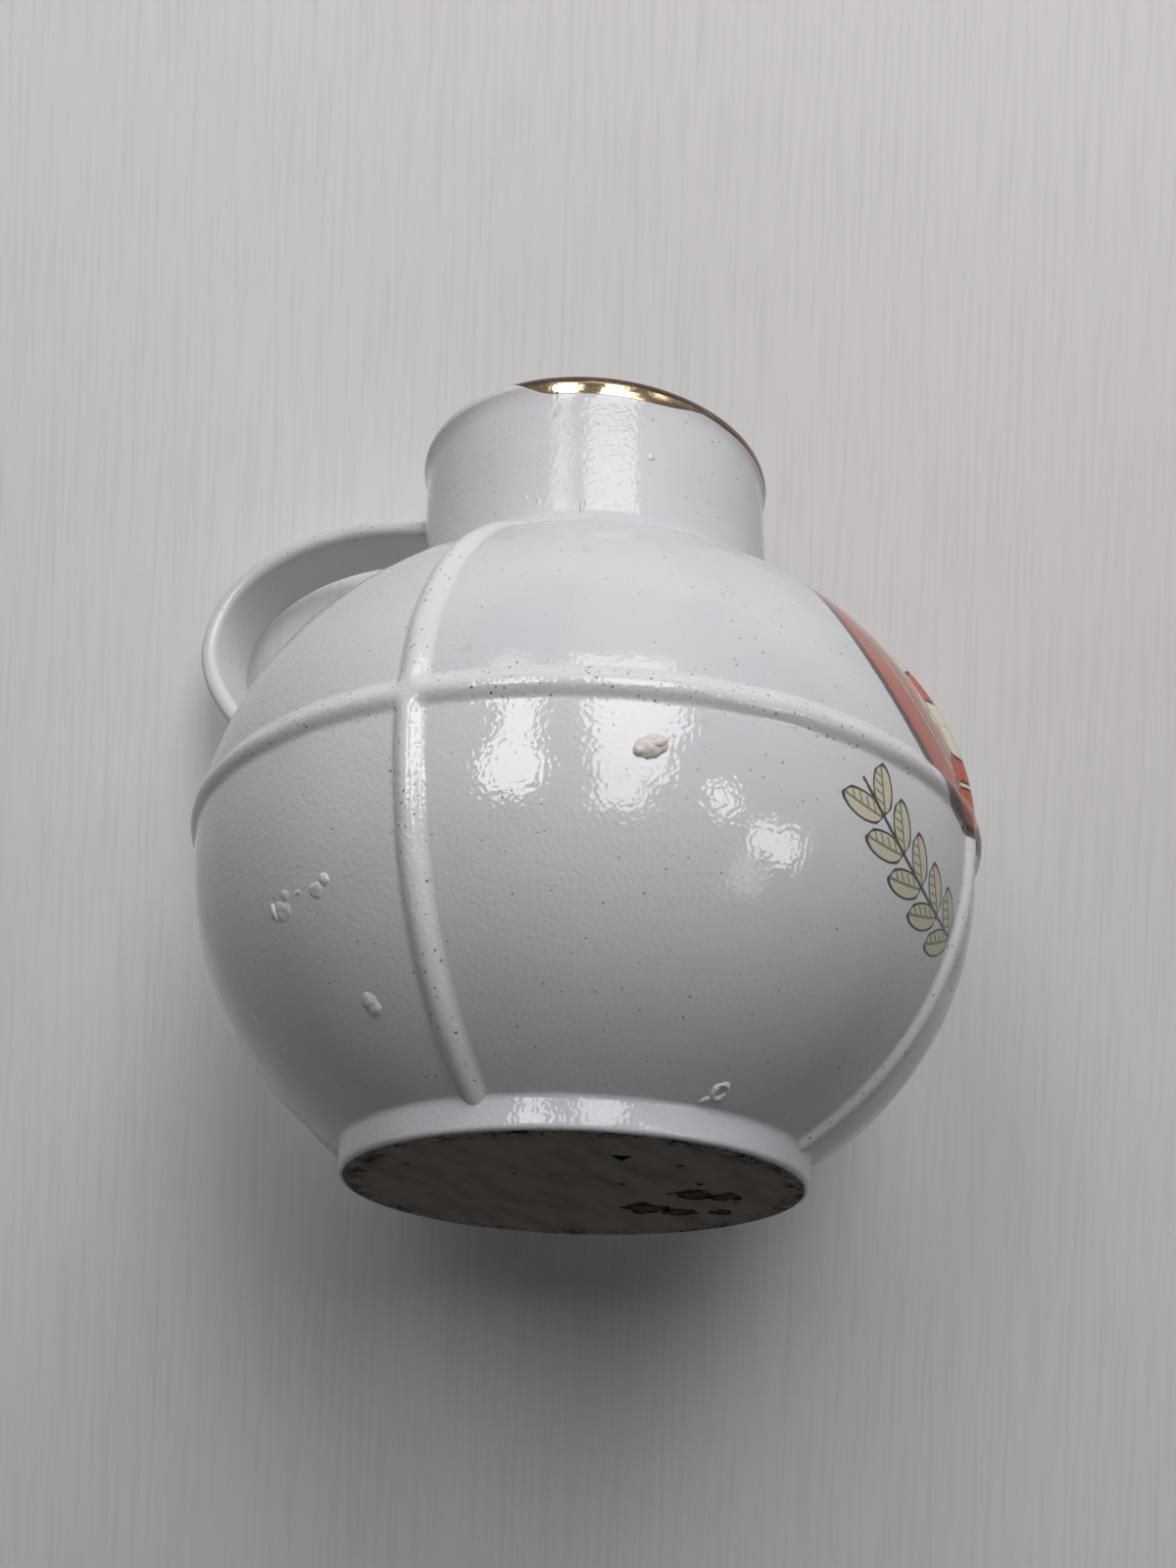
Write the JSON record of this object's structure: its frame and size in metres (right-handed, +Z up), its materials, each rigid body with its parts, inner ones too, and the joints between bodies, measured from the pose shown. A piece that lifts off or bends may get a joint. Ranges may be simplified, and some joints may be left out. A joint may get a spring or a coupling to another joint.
{
  "type": "milk jug",
  "caption": "Small globular porcelain milk jug with a short wide neck, gilt lip, strap handle, disc foot and raised bands round and down the belly.",
  "frame": {"origin": "centre of the foot's underside, on the jug's axis", "axes": "+Z up along the jug's axis; the handle points along -X and the decorated side faces +X"},
  "size_m": [0.0709, 0.0638, 0.064],
  "materials": {
    "glazed_porcelain": "glossy white glaze with fine specks",
    "foot_porcelain": "thin glaze, worn and stained underneath",
    "gilding": "worn bright gilding"
  },
  "bodies": {
    "root": {"belly": "glazed_porcelain", "foot": "foot_porcelain", "neck": "glazed_porcelain", "gilt_lip": "gilding", "handle": "glazed_porcelain", "handle_upper_slip": "glazed_porcelain", "handle_lower_slip": "glazed_porcelain", "rib_front": "glazed_porcelain", "rib_right": "glazed_porcelain", "rib_rear": "glazed_porcelain", "rib_handle_upper": "glazed_porcelain", "rib_handle_lower": "glazed_porcelain", "girth_front_right": "glazed_porcelain", "girth_rear_right": "glazed_porcelain", "girth_rear_left": "glazed_porcelain", "girth_front_left": "glazed_porcelain"}
  },
  "joints": []
}
